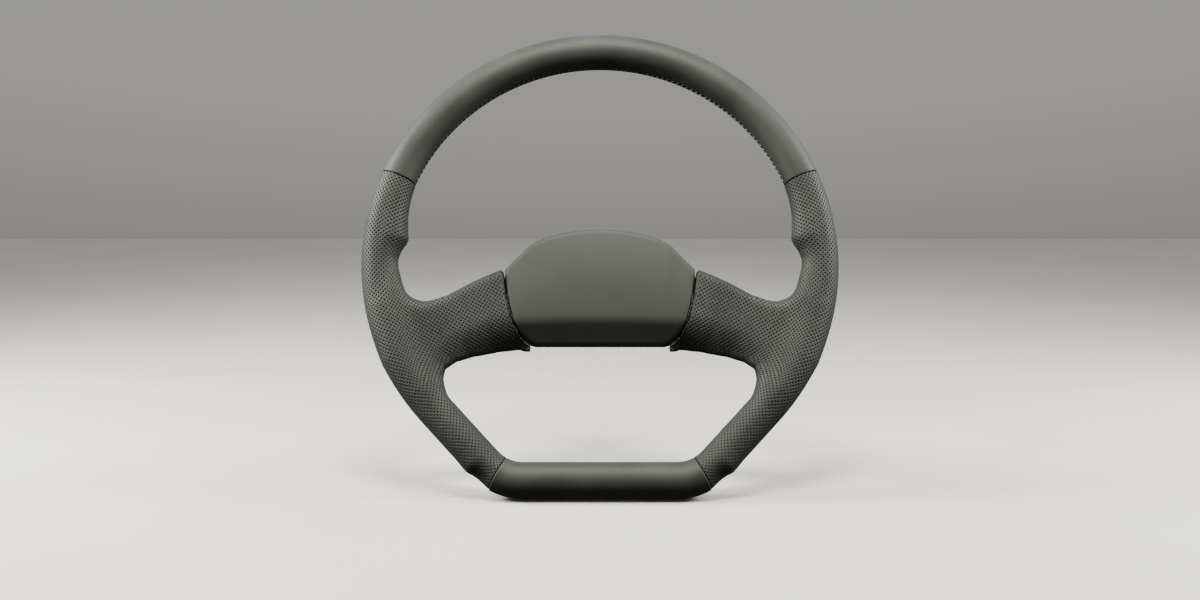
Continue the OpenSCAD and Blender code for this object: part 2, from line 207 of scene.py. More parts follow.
# Corrected-grain cowhide with a matt finish: pebbles about 0.8 mm across between fine creases,
# slightly uneven in tone and in gloss where hands have been.
LEATHER_DARK = "393d37"
LEATHER_LIGHT = "50554d"


def leather_grain(tree, place):
    """Height of the grain, and a slow change of tone."""
    warp = add(tree, "TexNoise", {"Vector": place, "Scale": 700.0, "Detail": 2.0})
    pebbles = add(tree, "TexVoronoi", {"Vector": place, "Scale": 1150.0, "Randomness": 0.9})
    gap = pebbles.outputs["Distance"]
    creases = add(tree, "MapRange", {"Value": gap, "From Min": 0.1, "From Max": 0.75})
    height = add(tree, "Math", {0: creases.outputs[0], 1: warp.outputs["Fac"]}, operation="SUBTRACT")
    tone = add(tree, "TexNoise", {"Vector": place, "Scale": 22.0, "Detail": 3.0})
    return height.outputs[0], tone.outputs["Fac"]


smooth_leather, shader = new_material("matt_smooth_leather")
tree = smooth_leather.node_tree
place = add(tree, "TexCoord").outputs["Object"]
height, tone = leather_grain(tree, place)
tree.links.new(two_tone(tree, tone, LEATHER_DARK, LEATHER_LIGHT, 0.2, 0.8), shader.inputs["Base Color"])
gloss = add(tree, "MapRange", {"Value": tone, "To Min": 0.5, "To Max": 0.62})
tree.links.new(gloss.outputs[0], shader.inputs["Roughness"])
relief = add(tree, "Bump", {"Height": height, "Strength": 0.35, "Distance": 0.00012})
tree.links.new(relief.outputs[0], shader.inputs["Normal"])
shader.inputs["Specular IOR Level"].default_value = 0.42
leather_top.data.materials.append(smooth_leather)
finish_piece(leather_top, "wheel", "leather_smooth", "leather_top")

# ---------- leather over the flat bottom bar ----------
# The same smooth leather, one tube over the bar and part of the way round each bottom bend.
# Its closing seam is at the back, glued down flat.
low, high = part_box("leather_bottom")
BAR_Z = low[2] + GRIP_R
BEND_R = 0.048
FLANK = math.radians(47)
BEND_SEAM = math.radians(29)
LEAVE = math.radians(270) - FLANK
leave_x = RING_R * math.cos(LEAVE)
leave_z = RING_R * math.sin(LEAVE)
corner_x = leave_x + (leave_z - BAR_Z) / math.tan(FLANK)
bend_cut = BEND_R * math.tan(FLANK / 2)
BEND_X = corner_x + bend_cut
BEND_Z = BAR_Z + BEND_R
FLANK_LEN = (leave_z - BAR_Z) / math.sin(FLANK) - bend_cut


def on_bend(side, turn):
    """A point on a bottom bend's line. side is -1 left or 1 right, turn 0 at the bar."""
    return (side * (-BEND_X + BEND_R * math.sin(turn)), RIM_Y, BEND_Z - BEND_R * math.cos(turn))


def bend_way(side, turn):
    return (side * math.cos(turn), 0, math.sin(turn))


bend_stop = BEND_SEAM - SEAM_GAP / BEND_R
bottom_start = on_bend(-1, bend_stop)
leather_bottom = new_circle("leather_bottom_skin", GRIP_R, bottom_start, (0, math.pi / 2 + bend_stop, 0), 64)
bpy.ops.mesh.spin(steps=22, angle=bend_stop, center=(BEND_X, RIM_Y, BEND_Z), axis=(0, 1, 0))
bpy.ops.mesh.extrude_region_move(TRANSFORM_OT_translate={"value": (-2 * BEND_X, 0, 0)})
bpy.ops.mesh.spin(steps=22, angle=bend_stop, center=(-BEND_X, RIM_Y, BEND_Z), axis=(0, 1, 0))
end_edit()
outward(leather_bottom)
thicken(leather_bottom, LEATHER_T)
for side in (-1, 1):
    round_end(leather_bottom, on_bend(side, bend_stop), bend_way(side, bend_stop), SEAM_ROUND)
leather_bottom.data.materials.append(smooth_leather)
finish_piece(leather_bottom, "wheel", "leather_smooth", "leather_bottom")

# ---------- punched leather over the sides and the spokes ----------
# One piece of punched leather a side, sewn to shape and stretched over the foam while wet, so it
# follows every hollow: the thumb rest, the soft roll under the spoke and the waist above the bend.
# Moulded foam under tension has no flat or round faces to model it by, so the skin is first joined
# from a tube and a plate, and each point is then drawn onto the stretched surface, which is given
# as a distance. Lengths in these functions are in millimetres, x and z as the wheel's, t to the driver.
MM = 1000.0
RING, GRIP, BEND = RING_R * MM, GRIP_R * MM, BEND_R * MM
SPOKE_TOP_EDGE = [(-50, -14), (-87, -9), (-104, -15.8), (-117, -22), (-139, -34), (-161, -38), (-190, -15)]
SPOKE_LOW_EDGE = [(-200, -45), (-190, -95), (-165, -125), (-152, -132), (-144.6, -119), (-143.2, -109),
                  (-140.3, -101.3), (-131, -95), (-115.6, -90.3), (-91.2, -86.8), (-50, -84.6)]
ROLL_LINE = [(-40, -52), (-79, -50), (-105, -56), (-132, -68), (-150, -83), (-156, -98), (-150, -116),
             (-130, -140), (-100, -180), (-40, -180)]
PAD_EDGE = [(59.5, -81.3), (67.3, -76.6), (73, -69.5), (79, -59), (82, -47), (84.6, -36), (86.6, -22),
            (87.4, -10.5), (76, 1), (65, 12.4), (60, 15.8), (50, 20.1), (38, 23.6), (26, 26),
            (13, 27.6), (0, 28.1), (-13, 27.6), (-26, 26), (-38, 23.6), (-50, 20.1), (-60, 15.8),
            (-65, 12.4), (-76, 1), (-87.4, -10.5), (-86.6, -22), (-84.6, -36), (-82, -47), (-79, -59),
            (-73, -69.5), (-67.3, -76.6), (-59.5, -81.3)]


def from_polygon(x, z, corners):
    """Signed distance from a polygon's edge, below 0 inside it."""
    nearest = np.full(x.shape, 1e9)
    inside = np.zeros(x.shape, bool)
    for (ax, az), (bx, bz) in zip(corners, corners[1:] + corners[:1]):
        ex, ez = bx - ax, bz - az
        share = np.clip(((x - ax) * ex + (z - az) * ez) / (ex * ex + ez * ez), 0, 1)
        nearest = np.minimum(nearest, np.hypot(x - ax - share * ex, z - az - share * ez))
        if az != bz:
            inside ^= ((az > z) != (bz > z)) & (x < ex * (z - az) / ez + ax)
    return np.where(inside, -nearest, nearest)


def soft_min(a, b, k):
    h = np.maximum(k - np.abs(a - b), 0) / k
    return np.minimum(a, b) - h * h * k / 4


def soft_max(a, b, k):
    return -soft_min(-a, -b, k)


def along_rim(x, z):
    """For points left of the middle: distance along the rim's line from the top, how far inward of
    the line they are, and how far from it."""
    turn = np.clip(np.arctan2(z, x) % (2 * np.pi), np.pi / 2, LEAVE)
    bend = np.clip(np.arctan2(z - BEND_Z * MM, x - BEND_X * MM) % (2 * np.pi), LEAVE, 1.5 * np.pi)
    down = np.array([math.cos(FLANK), -math.sin(FLANK)])
    run = np.clip((x - leave_x * MM) * down[0] + (z - leave_z * MM) * down[1], 0, FLANK_LEN * MM)
    bar = np.clip(x, BEND_X * MM, 0)
    s_leave = RING * (LEAVE - np.pi / 2)
    s_bend = s_leave + FLANK_LEN * MM
    s_bar = s_bend + BEND * FLANK
    options = [
        (RING * np.cos(turn), RING * np.sin(turn), -np.cos(turn), -np.sin(turn),
         RING * (turn - np.pi / 2)),
        (leave_x * MM + run * down[0], leave_z * MM + run * down[1], np.full(x.shape, -down[1]),
         np.full(x.shape, down[0]), s_leave + run),
        (BEND_X * MM + BEND * np.cos(bend), BEND_Z * MM + BEND * np.sin(bend), -np.cos(bend), -np.sin(bend),
         s_bend + BEND * (bend - LEAVE)),
        (bar, np.full(x.shape, BAR_Z * MM), np.zeros(x.shape), np.ones(x.shape), s_bar + bar - BEND_X * MM),
    ]
    away = np.full(x.shape, 1e9)
    length = np.zeros(x.shape)
    inward = np.zeros(x.shape)
    for qx, qz, nx, nz, s in options:
        d = np.hypot(x - qx, z - qz)
        closer = d < away
        away = np.where(closer, d, away)
        length = np.where(closer, s, length)
        inward = np.where(closer, (x - qx) * nx + (z - qz) * nz, inward)
    return length, inward, away


# The thumb rest and the waist: distance along the rim from each one's crest, and how far the skin
# stands out or dips there.
S_THUMB = RING * math.radians(174 - 90)
THUMB_ALONG = [-66, -58, -43, -26, -13, -4, 0, 3, 8, 12.5, 20, 32]
THUMB_RISE = [0, 0.3, 1.6, 3.7, 6.3, 8.1, 8.6, 7.6, 5, 2.9, 0.8, 0]
S_WAIST = RING * (LEAVE - math.pi / 2) + 62
WAIST_ALONG = [-14, -6, -1, 2, 6, 10, 14, 19, 25]
WAIST_DIP = [0, -0.4, -0.5, 0.3, 1.9, 2.6, 2.3, 1, 0]
SPOKE_EDGE_R = 11.5
PAD_GAP = 1.4


def skin(points):
    """Distance from the stretched leather's outer face, below 0 inside."""
    x, t, z = -np.abs(points[:, 0]), points[:, 1], points[:, 2]
    s, inward, away = along_rim(x, z)
    rho = np.hypot(away, t)
    face = np.clip(inward / np.maximum(rho, 1), -1, 1)
    rise = np.interp(s - S_THUMB, THUMB_ALONG, THUMB_RISE)
    waist = np.interp(s - S_WAIST, WAIST_ALONG, WAIST_DIP)
    tube = rho - GRIP - rise * np.clip(face, 0, 1) ** 1.3 + waist * np.clip(0.4 - face, 0, 1) ** 1.3
    plate = from_polygon(x, z, SPOKE_TOP_EDGE + SPOKE_LOW_EDGE)
    plate = soft_max(plate, 26.5 - np.hypot(x + 161, z + 12.5), 6)
    in_edge = plate + SPOKE_EDGE_R
    half = np.abs(t + 1) - 15 + SPOKE_EDGE_R
    slab = np.minimum(np.maximum(in_edge, half), 0)
    slab = slab + np.hypot(np.maximum(in_edge, 0), np.maximum(half, 0)) - SPOKE_EDGE_R
    below = np.clip(-from_polygon(x, z, ROLL_LINE), 0, 40)
    front = 10 + 4 * np.clip((-x - 112) / 45, 0, 1) ** 2
    roll = (t - front + below ** 2 / 56) / np.sqrt(1 + (below / 28) ** 2)
    slab = soft_max(slab, roll, 3.5)
    both = soft_min(tube, slab, 15)
    return soft_max(both, PAD_GAP - from_polygon(x, z, PAD_EDGE), 0.8)


def face_slope(points, face):
    step = 0.05
    slope = np.zeros_like(points)
    for axis in range(3):
        there = points.copy()
        there[:, axis] += step
        here = points.copy()
        here[:, axis] -= step
        slope[:, axis] = (face(there) - face(here)) / (2 * step)
    return slope / np.maximum(np.linalg.norm(slope, axis=1, keepdims=True), 1e-6)


def mesh_points(obj):
    """The mesh's points in millimetres, x, towards the driver, z."""
    flat = np.empty(len(obj.data.vertices) * 3)
    obj.data.vertices.foreach_get("co", flat)
    p = flat.reshape(-1, 3)
    return np.stack([p[:, 0], RIM_Y - p[:, 1], p[:, 2]], 1) * MM


def set_mesh_points(obj, points):
    p = points / MM
    flat = np.stack([p[:, 0], RIM_Y - p[:, 1], p[:, 2]], 1).ravel()
    obj.data.vertices.foreach_set("co", flat)
    obj.data.update()


def draw_onto(obj, face, under=0.0, rounds=5):
    """Moves every point onto a face given as a distance, or a little under it."""
    points = mesh_points(obj)
    for _ in range(rounds):
        miss = np.clip(face(points) + under, -4, 4)
        points -= face_slope(points, face) * miss[:, None]
    set_mesh_points(obj, points)


def half_core(name, radius):
    """A tube along the left half of the rim, joined to a plate for the spoke."""
    tube = new_circle(name, radius, (0, RIM_Y, RING_R), (0, -math.pi / 2, 0), 32)
    bpy.ops.mesh.edge_face_add()
    bpy.ops.mesh.spin(steps=90, angle=LEAVE - math.pi / 2, center=(0, RIM_Y, 0), axis=(0, 1, 0))
    bpy.ops.mesh.extrude_region_move(
        TRANSFORM_OT_translate={"value": (FLANK_LEN * math.cos(FLANK), 0, -FLANK_LEN * math.sin(FLANK))})
    bpy.ops.mesh.spin(steps=24, angle=FLANK, center=(BEND_X, RIM_Y, BEND_Z), axis=(0, 1, 0))
    bpy.ops.mesh.extrude_region_move(TRANSFORM_OT_translate={"value": (-BEND_X, 0, 0)})
    end_edit()
    edge = [(-90, -14), (-104, -20), (-117, -26), (-139, -38), (-161, -42), (-190, -42), (-195, -80),
            (-165, -125), (-150, -120), (-146, -101), (-130, -92), (-109, -86), (-60, -83), (-68, -78.5),
            (-76, -69), (-82, -58), (-87, -37)]
    plate = new_circle(name + "_plate", 0.05, (0, RIM_Y + 0.014, 0), (math.pi / 2, 0, 0), len(edge))
    bpy.ops.mesh.edge_face_add()
    work = bmesh.from_edit_mesh(plate.data)
    for v, (x, z) in zip(work.verts, edge):
        v.co.x = x / MM
        v.co.z = z / MM
    bmesh.update_edit_mesh(plate.data)
    bpy.ops.mesh.extrude_region_move(TRANSFORM_OT_translate={"value": (0, -0.022, 0)})
    end_edit()
    bpy.ops.object.select_all(action="DESELECT")
    plate.select_set(True)
    tube.select_set(True)
    bpy.context.view_layer.objects.active = tube
    bpy.ops.object.join()
    start_edit(tube)
    bpy.ops.mesh.select_all(action="SELECT")
    bpy.ops.mesh.normals_make_consistent(inside=False)
    end_edit()
    return tube


def cut_away(obj, at, toward):
    """Bisects the skin and drops the side that toward points to."""
    start_edit(obj)
    bpy.ops.mesh.select_all(action="SELECT")
    bpy.ops.mesh.bisect(plane_co=at, plane_no=toward, clear_outer=True, clear_inner=False)
    end_edit()


leather_left = half_core("leather_left_skin", GRIP_R - 0.0015)
apply_modifier(leather_left, "REMESH", mode="VOXEL", voxel_size=0.0015)
draw_onto(leather_left, skin, rounds=3)
apply_modifier(leather_left, "SMOOTH", factor=0.5, iterations=6)
draw_onto(leather_left, skin)
side_start = TOP_SEAM + gap_angle
side_turn = BEND_SEAM + SEAM_GAP / BEND_R
cut_away(leather_left, on_ring(side_start), [-c for c in ring_way(side_start)])
cut_away(leather_left, on_bend(-1, side_turn), [-c for c in bend_way(-1, side_turn)])
TAIL_X = -0.064
cut_away(leather_left, (TAIL_X, RIM_Y, 0), (1, 0, 0))
outward(leather_left)

# The punching runs straight along the rim and turns onto the spoke. 25 repeats go round the rim,
# 4.1 mm each, with a second hole between every four, so neighbouring holes are 2.9 mm apart.
REPEAT = 2 * math.pi * GRIP / 25


def lay_pattern(obj):
    """A UV map in repeats of the punching, in lengths along and round the leather."""
    p = mesh_points(obj)
    n = face_slope(p, skin)
    s, inward, away = along_rim(p[:, 0], p[:, 2])
    around = np.arctan2(-inward, p[:, 1])
    at = math.radians(195)
    way = np.array([-math.sin(at), math.cos(at)])
    into = np.array([-math.cos(at), -math.sin(at)])
    dx = p[:, 0] - RING * math.cos(at)
    dz = p[:, 2] - RING * math.sin(at)
    lean = np.arccos(np.clip(np.abs(n[:, 1]), 0, 1))
    extra = SPOKE_EDGE_R * (lean - np.sin(lean))
    flat = np.maximum(np.hypot(n[:, 0], n[:, 2]), 1e-6)
    extra_along = extra * (n[:, 0] * way[0] + n[:, 2] * way[1]) / flat
    u2 = RING * (at - math.pi / 2) + dx * way[0] + dz * way[1] + extra_along
    depth = dx * into[0] + dz * into[1]
    extra_in = extra * (n[:, 0] * into[0] + n[:, 2] * into[1]) / flat
    v2_front = -15.2 - (depth - 13.1) - extra_in
    v2_back = -47.8 + (depth - 4) + extra_in
    plate = from_polygon(p[:, 0], p[:, 2], SPOKE_TOP_EDGE + SPOKE_LOW_EDGE)
    share = np.clip((depth - 5) / 16, 0, 1) * np.clip((10 - plate) / 16, 0, 1)
    share *= 1 - np.clip((s - 412) / 50, 0, 1) * np.clip((48 - depth) / 22, 0, 1)
    share = share * share * (3 - 2 * share)
    layer = obj.data.uv_layers.new(name="punching")
    loops = np.empty(len(obj.data.loops), int)
    obj.data.loops.foreach_get("vertex_index", loops)
    uv = np.zeros((len(loops), 2))
    for face in obj.data.polygons:
        ids = loops[face.loop_start:face.loop_start + face.loop_total]
        a = around[ids]
        if a.max() - a.min() > np.pi:
            a = np.where(a < 0, a + 2 * np.pi, a)
            if share[ids].max() > 0.02:
                a = a - 2 * np.pi
        w = share[ids]
        v2 = v2_back if face.normal.y > 0 else v2_front
        span = slice(face.loop_start, face.loop_start + face.loop_total)
        uv[span, 0] = ((1 - w) * s[ids] + w * u2[ids]) / REPEAT
        uv[span, 1] = ((1 - w) * a * GRIP + w * v2[ids]) / REPEAT
    layer.data.foreach_set("uv", uv.ravel())


lay_pattern(leather_left)
thicken(leather_left, LEATHER_T)
round_end(leather_left, on_ring(side_start), ring_way(side_start), SEAM_ROUND)
round_end(leather_left, on_bend(-1, side_turn), bend_way(-1, side_turn), SEAM_ROUND)

# The same leather as the smooth strips, die punched before it was sewn: holes 1.4 mm across with
# a softly pressed lip. The holes are painted near black: the dark foam at their bottom, with painted shade
# in each hole.
punched_leather, shader = new_material("punched_leather")
tree = punched_leather.node_tree
place = add(tree, "TexCoord").outputs["Object"]
height, tone = leather_grain(tree, place)
sheet_place = add(tree, "UVMap", uv_map="punching").outputs["UV"]
lattice = add(tree, "Mapping", {"Vector": sheet_place, "Rotation": (0, 0, math.radians(45)),
                                "Scale": (math.sqrt(2), math.sqrt(2), 1)})
cell = add(tree, "VectorMath", {0: lattice.outputs[0]}, operation="FRACTION")
centred = add(tree, "VectorMath", {0: cell.outputs[0], 1: (0.5, 0.5, 0.0)}, operation="SUBTRACT")
flat_centred = add(tree, "VectorMath", {0: centred.outputs[0], 1: (1.0, 1.0, 0.0)}, operation="MULTIPLY")
from_hole = add(tree, "VectorMath", {0: flat_centred.outputs[0]}, operation="LENGTH").outputs["Value"]
hole = add(tree, "MapRange", {"Value": from_hole, "From Min": 0.2, "From Max": 0.265},
           interpolation_type="SMOOTHSTEP")
lip = add(tree, "MapRange", {"Value": from_hole, "From Min": 0.2, "From Max": 0.4},
          interpolation_type="SMOOTHSTEP")
skin_tone = two_tone(tree, tone, LEATHER_DARK, LEATHER_LIGHT, 0.2, 0.8)
# Mix keeps its colour sockets, 6 and 7, after its number and vector ones
# Near black in the holes, darker than the foam itself: the foam's own colour with painted shade inside each
# hole.
HOLE_FOAM_AND_SHADE = linear("0b0c0b")
colour = add(tree, "Mix", {"Factor": hole.outputs[0], 6: HOLE_FOAM_AND_SHADE, 7: skin_tone}, data_type="RGBA")
tree.links.new(colour.outputs[2], shader.inputs["Base Color"])
gloss = add(tree, "MapRange", {"Value": hole.outputs[0], "To Min": 0.95, "To Max": 0.56})
tree.links.new(gloss.outputs[0], shader.inputs["Roughness"])
pits = add(tree, "Bump", {"Height": lip.outputs[0], "Strength": 0.8, "Distance": 0.0005})
relief = add(tree, "Bump", {"Height": height, "Strength": 0.3, "Distance": 0.00012,
                            "Normal": pits.outputs[0]})
tree.links.new(relief.outputs[0], shader.inputs["Normal"])
shader.inputs["Specular IOR Level"].default_value = 0.42
leather_left.data.materials.append(punched_leather)

bpy.ops.object.select_all(action="DESELECT")
leather_left.select_set(True)
bpy.context.view_layer.objects.active = leather_left
bpy.ops.object.duplicate()
leather_right = bpy.context.object
leather_right.name = "leather_right_skin"
bpy.ops.object.mode_set(mode="EDIT")
bpy.ops.mesh.select_all(action="SELECT")
bpy.ops.transform.resize(value=(-1, 1, 1), center_override=(0, 0, 0))
bpy.ops.mesh.flip_normals()
end_edit()
for piece, node in ((leather_left, "leather_left"), (leather_right, "leather_right")):
    finish_piece(piece, "wheel", "leather_perforated", node)

# ---------- moulded foam of the rim ----------
# Self-skinning polyurethane, moulded round the steel rod and the two arms. The leather covers all
# of it but the hair's breadth at the bottom of each seam.
UNDER_LEATHER = 1.36
foam_left = half_core("rim_foam_core", GRIP_R - 0.003)
apply_modifier(foam_left, "REMESH", mode="VOXEL", voxel_size=0.0024)
draw_onto(foam_left, skin, under=UNDER_LEATHER, rounds=3)
apply_modifier(foam_left, "SMOOTH", factor=0.5, iterations=4)
draw_onto(foam_left, skin, under=UNDER_LEATHER, rounds=4)
cut_away(foam_left, (0, RIM_Y, 0), (1, 0, 0))
apply_modifier(foam_left, "MIRROR", use_axis=(True, False, False), use_clip=True, merge_threshold=0.0003)
outward(foam_left)
foam_skin, shader = new_material("moulded_polyurethane")
tree = foam_skin.node_tree
place = add(tree, "TexCoord").outputs["Object"]
bubbles = add(tree, "TexVoronoi", {"Vector": place, "Scale": 900.0})
tree.links.new(two_tone(tree, bubbles.outputs["Distance"], "161715", "242622"), shader.inputs["Base Color"])
relief = add(tree, "Bump", {"Height": bubbles.outputs["Distance"], "Strength": 0.3, "Distance": 0.0002})
tree.links.new(relief.outputs[0], shader.inputs["Normal"])
shader.inputs["Roughness"].default_value = 0.85
foam_left.data.materials.append(foam_skin)
finish_piece(foam_left, "wheel", "foam", "rim_foam")

# ---------- whipped seam on the inside of the rim ----------
# Bonded polyester thread 0.9 mm thick, one slanting stitch over the two edges every 5 mm, pulled
# down so that its ends go into the leather.
THREAD_R = 0.00045
stitch_ring = RING_R - GRIP_R - 0.0001
step = 0.005 / stitch_ring
half_count = int((TOP_SEAM - math.pi / 2 - 0.02) / step)
bpy.ops.object.select_all(action="DESELECT")
bpy.ops.mesh.primitive_cylinder_add(vertices=8, radius=THREAD_R, depth=0.0018, end_fill_type="NGON")
stitch = bpy.context.object
start_edit()
reach = 0.0009
sunk = 0.0
for out, down, size in ((0.0009, 0.0002, 0.95), (0.0006, 0.0005, 0.8), (0.0002, 0.0005, 0.5)):
    for end in (1, -1):
        pick_verts(stitch, lambda p: p.z * end > reach - 0.00005)
        bpy.ops.mesh.select_mode(type="FACE")
        bpy.ops.mesh.extrude_region_move(TRANSFORM_OT_translate={"value": (-down, 0, end * out)})
        tip = (-sunk - down, 0, end * (reach + out))
        bpy.ops.transform.resize(value=(size, size, 1), center_override=tip)
    reach += out
    sunk += down
end_edit()
slant = math.radians(34)
stitches = [stitch]
for index in range(-half_count, half_count + 1):
    copy = stitch.copy()
    copy.data = stitch.data.copy()
    bpy.context.scene.collection.objects.link(copy)
    for v in copy.data.vertices:
        along = v.co.y * math.cos(slant) + v.co.z * math.sin(slant)
        across = -v.co.y * math.sin(slant) + v.co.z * math.cos(slant)
        angle = math.pi / 2 + index * step + along / stitch_ring
        ring = stitch_ring - v.co.x
        v.co = (ring * math.cos(angle), RIM_Y + across, ring * math.sin(angle))
    stitches.append(copy)
bpy.data.objects.remove(stitches.pop(0))
bpy.ops.object.select_all(action="DESELECT")
for copy in stitches:
    copy.select_set(True)
bpy.context.view_layer.objects.active = stitches[0]
bpy.ops.object.join()
stitching = bpy.context.object
stitching.name = "rim_stitching_thread"
outward(stitching)

# Three twisted strands in short slanting bands: the colour is lighter on the raised strands and darker
# between them, painted highlight and painted shade over the same bump.
bonded_thread, shader = new_material("bonded_polyester_thread")
tree = bonded_thread.node_tree
place = add(tree, "TexCoord").outputs["Object"]
turned = add(tree, "Mapping", {"Vector": place, "Rotation": (0.6, 0.0, 0.4)})
strands = add(tree, "TexWave", {"Vector": turned.outputs[0], "Scale": 330.0, "Distortion": 0.6})
# Lighter where the strands stand high and darker in the grooves: painted highlight and painted shade.
tree.links.new(two_tone(tree, strands.outputs["Fac"], "8b8f86", "b4b7ae"), shader.inputs["Base Color"])
relief = add(tree, "Bump", {"Height": strands.outputs["Fac"], "Strength": 0.5, "Distance": 0.0002})
tree.links.new(relief.outputs[0], shader.inputs["Normal"])
shader.inputs["Roughness"].default_value = 0.6
shader.inputs["Sheen Weight"].default_value = 0.3
stitching.data.materials.append(bonded_thread)
finish_piece(stitching, "wheel", "thread", "rim_stitching")

# ---------- horn pad ----------
# A skin of soft-touch integral foam moulded over its frame, 2.2 mm thick so the posts clear it. Its
# face is crowned, turns back at the upper corners and breaks along a crease into a lower facet.
PAD_FRONT, PAD_BACK, CREASE_Z = 12.0, -8.0, -58.0
PAD_SKIN = 0.0022


def pad_face(points):
    """Distance from the pad's outer face, below 0 inside."""
    x, t, z = np.abs(points[:, 0]), points[:, 1], points[:, 2]
    rim = from_polygon(x, z, PAD_EDGE)
    turn_back = 0.13 * np.clip(x - 63, 0, 40) * np.clip((z + 50) / 45, 0, 1)
    crown = 1.2 * (x / 87) ** 2 + 5 * np.clip((z + 30) / 56, 0, 2) ** 2
    crown = crown + 1.2 * np.clip((-30 - z) / 28, 0, 1) ** 2
    face = t - PAD_FRONT + crown + turn_back
    facet = -0.517 * (z - CREASE_Z) + 0.856 * (t - PAD_FRONT + 1)
    shape = soft_max(face, facet, 2.2)
    shape = soft_max(shape, rim, 4.5)
    return soft_max(shape, PAD_BACK - t, 1.0)


pad = new_circle("horn_pad_skin", 0.05, (0, RIM_Y + 0.007, 0), (math.pi / 2, 0, 0), len(PAD_EDGE))
bpy.ops.mesh.edge_face_add()
work = bmesh.from_edit_mesh(pad.data)
for v, (x, z) in zip(work.verts, PAD_EDGE):
    v.co.x = (x * 0.985) / MM
    v.co.z = (z * 0.985) / MM
bmesh.update_edit_mesh(pad.data)
bpy.ops.mesh.extrude_region_move(TRANSFORM_OT_translate={"value": (0, -0.018, 0)})
end_edit()
outward(pad)
apply_modifier(pad, "REMESH", mode="VOXEL", voxel_size=0.0015)
draw_onto(pad, pad_face, rounds=4)
apply_modifier(pad, "SMOOTH", factor=0.5, iterations=4)
draw_onto(pad, pad_face)
cut_away(pad, (0, RIM_Y + 0.0075, 0), (0, 1, 0))
outward(pad)
thicken(pad, PAD_SKIN)

# Soft-touch paint over fine moulded texture: dull, with a broad soft highlight.
soft_touch, shader = new_material("soft_touch_skin")
tree = soft_touch.node_tree
place = add(tree, "TexCoord").outputs["Object"]
texture = add(tree, "TexVoronoi", {"Vector": place, "Scale": 1500.0, "Randomness": 1.0})
cloud = add(tree, "TexNoise", {"Vector": place, "Scale": 18.0, "Detail": 3.0})
base = two_tone(tree, cloud.outputs["Fac"], "434841", "4d524a", 0.25, 0.75)
tree.links.new(base, shader.inputs["Base Color"])
gloss = add(tree, "MapRange", {"Value": cloud.outputs["Fac"], "To Min": 0.52, "To Max": 0.64})
tree.links.new(gloss.outputs[0], shader.inputs["Roughness"])
relief = add(tree, "Bump", {"Height": texture.outputs["Distance"], "Strength": 0.25, "Distance": 0.00008})
tree.links.new(relief.outputs[0], shader.inputs["Normal"])
shader.inputs["Specular IOR Level"].default_value = 0.4
pad.data.materials.append(soft_touch)
finish_piece(pad, "pad", "pad_skin", "horn_pad")


def clad(material, *nodes):
    """Gives CAD nodes their finish."""
    for node in nodes:
        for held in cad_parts[node].material_slots:
            held.material = material


# ---------- armature of the spokes ----------
# Gravity-cast aluminium plate and arms, cast round the rim's rod, then shot-blasted, which leaves
# an even dull silver with a fine pebble and slightly darker patches.
cast_aluminium, shader = new_material("shot_blasted_aluminium")
tree = cast_aluminium.node_tree
place = add(tree, "TexCoord").outputs["Object"]
blasted = add(tree, "TexNoise", {"Vector": place, "Scale": 1400.0, "Detail": 3.0})
patches = add(tree, "TexNoise", {"Vector": place, "Scale": 40.0, "Detail": 4.0})
base = two_tone(tree, patches.outputs["Fac"], "8f9294", "b4b7b8", 0.3, 0.75)
tree.links.new(base, shader.inputs["Base Color"])
gloss = add(tree, "MapRange", {"Value": patches.outputs["Fac"], "To Min": 0.45, "To Max": 0.62})
tree.links.new(gloss.outputs[0], shader.inputs["Roughness"])
relief = add(tree, "Bump", {"Height": blasted.outputs["Fac"], "Strength": 0.45, "Distance": 0.00025})
tree.links.new(relief.outputs[0], shader.inputs["Normal"])
shader.inputs["Metallic"].default_value = 1.0
clad(cast_aluminium, "spoke_armature")

# ---------- hub ----------
# Turned from 6061 bar, flange and sleeve in one, with the spline keys broached. Fine turning rings
# run round its axis, drawn 0.5 mm apart, coarser than the real feed, so that they show.


def turned_metal(name, dark, light, rough, rings=2000.0):
    """A metal with turning rings round the column's axis. Returns the material."""
    material, shader = new_material(name)
    tree = material.node_tree
    place = add(tree, "TexCoord").outputs["Object"]
    marks = add(tree, "TexWave", {"Vector": place, "Scale": rings / 6.283, "Distortion": 0.3, "Detail": 1.0},
                wave_type="RINGS", rings_direction="Y")
    worn = add(tree, "TexNoise", {"Vector": place, "Scale": 70.0, "Detail": 4.0})
    tree.links.new(two_tone(tree, worn.outputs["Fac"], dark, light, 0.3, 0.7), shader.inputs["Base Color"])
    gloss = add(tree, "MapRange", {"Value": worn.outputs["Fac"], "To Min": rough, "To Max": rough + 0.14})
    tree.links.new(gloss.outputs[0], shader.inputs["Roughness"])
    relief = add(tree, "Bump", {"Height": marks.outputs["Fac"], "Strength": 0.2, "Distance": 0.0001})
    tree.links.new(relief.outputs[0], shader.inputs["Normal"])
    shader.inputs["Metallic"].default_value = 1.0
    return material


machined_aluminium = turned_metal("turned_aluminium", "b7babc", "d3d5d6", 0.24)
clad(machined_aluminium, "hub_body")

# ---------- sliding collar ----------
# Turned aluminium with scallops for the fingers, red anodised: the colour is in the metal's own
# skin, so the turning still shows.
anodised_red = turned_metal("red_anodised_aluminium", "7d1512", "a3211b", 0.3)
clad(anodised_red, "lock_collar")

# ---------- springs, stop ring and balls ----------
# Music wire for the springs and the split ring, drawn and oil-tempered to a dark steel colour, and
# polished chrome-steel bearing balls.
spring_steel = turned_metal("oil_tempered_wire", "6d6f72", "8d9093", 0.28, rings=900.0)
clad(spring_steel, "collar_spring", "collar_stop_ring", "horn_springs")
ball_steel = turned_metal("polished_bearing_steel", "c2c5c8", "d9dbdd", 0.07, rings=3000.0)
clad(ball_steel, *["lock_ball_%d" % n for n in range(1, 7)])

